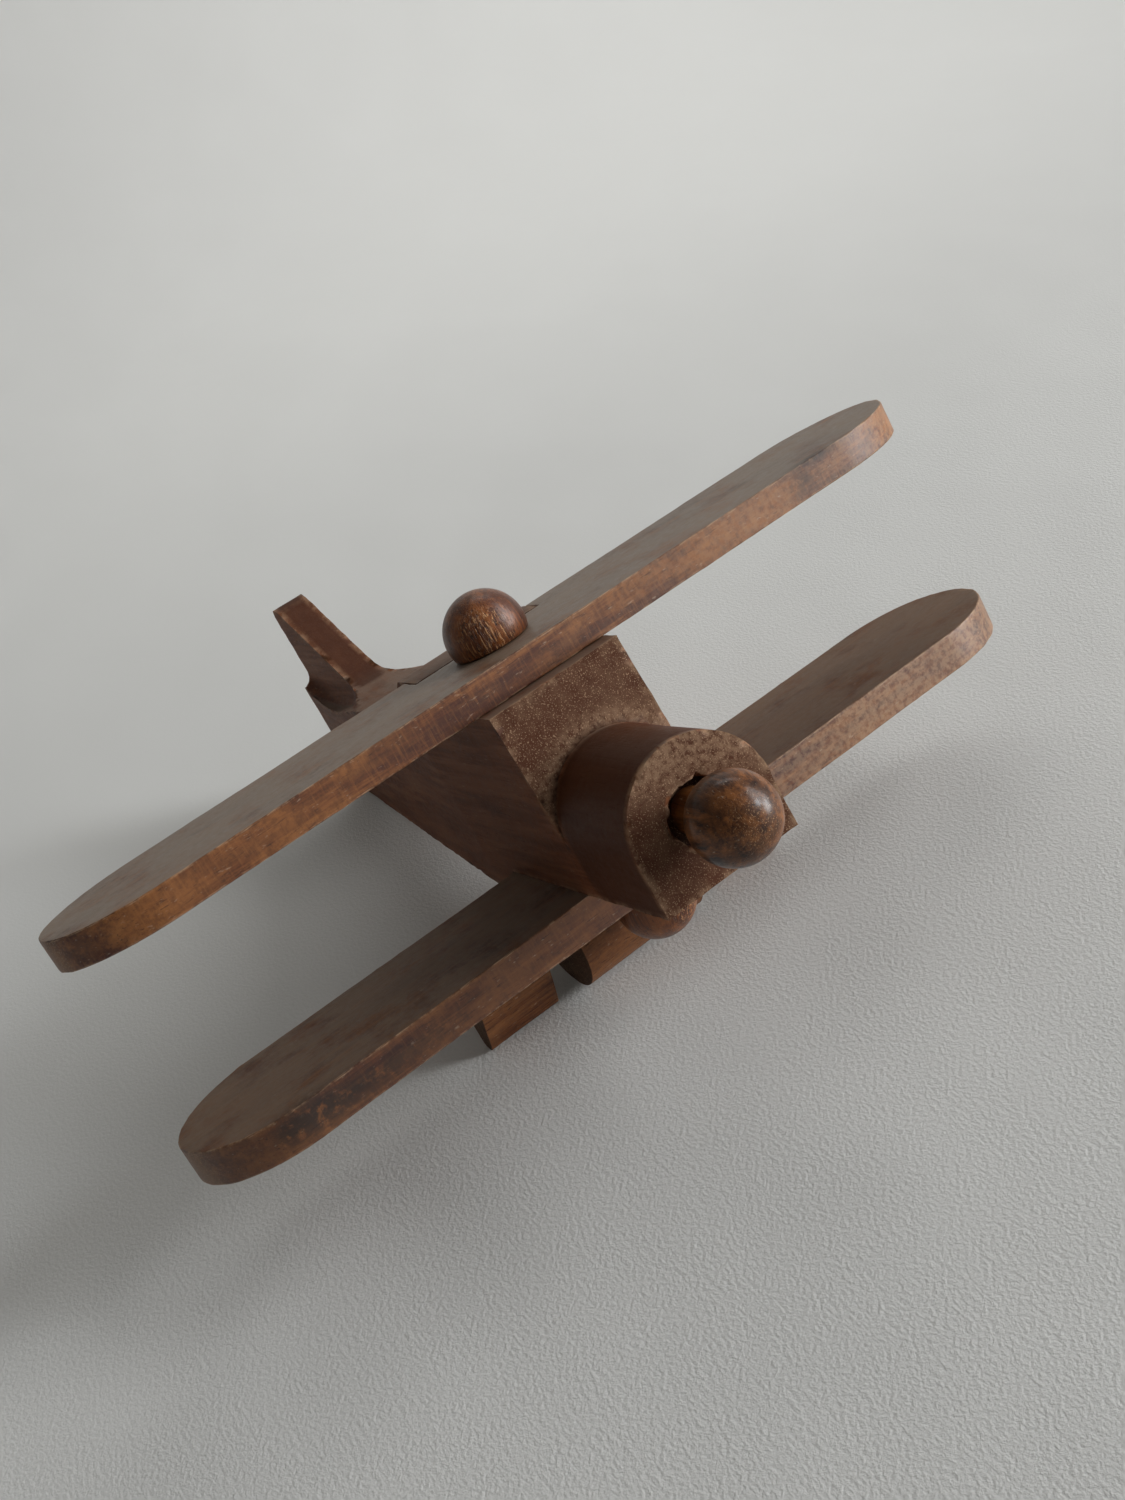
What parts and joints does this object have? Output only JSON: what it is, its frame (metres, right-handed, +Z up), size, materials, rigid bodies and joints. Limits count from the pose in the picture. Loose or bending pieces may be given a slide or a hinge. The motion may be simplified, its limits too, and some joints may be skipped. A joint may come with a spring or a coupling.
{
  "type": "biplane scale model",
  "caption": "Hand-carved wooden biplane: slab-sided body with a tail fin, board wings with rounded tips, ball pilot's head and a turning ball nose; stands nose-up on its tail",
  "frame": {"origin": "middle of the worn flat under the belly block, where it stands on the table", "axes": "+Z up from the table, +X along the table towards the nose, +Y to the aircraft's left; the aircraft itself is tipped nose-up about Y because it rests on its tail"},
  "size_m": [0.2351, 0.23, 0.0987],
  "materials": {
    "body_wood": "worn",
    "wing_wood": "worn",
    "ball_wood": "polished",
    "gear_wood": "worn",
    "peg_wood": "raw"
  },
  "bodies": {
    "airframe": {"fuselage": "body_wood", "top_wing": "wing_wood", "bottom_wing": "wing_wood", "pilot_head": "ball_wood", "belly_ball": "ball_wood", "belly_block": "gear_wood", "left_foot": "gear_wood", "right_foot": "gear_wood", "head_peg": "peg_wood", "belly_ball_peg": "peg_wood", "block_pegs": "peg_wood", "foot_pegs": "peg_wood"},
    "knob": {"nose_knob": "ball_wood"}
  },
  "joints": [
    {"name": "knob_spin", "type": "hinge", "parent": "airframe", "child": "knob", "pos_m": [0.06315, 0, 0.06567], "axis": [0.9616, 0, 0.2744], "continuous": true}
  ]
}
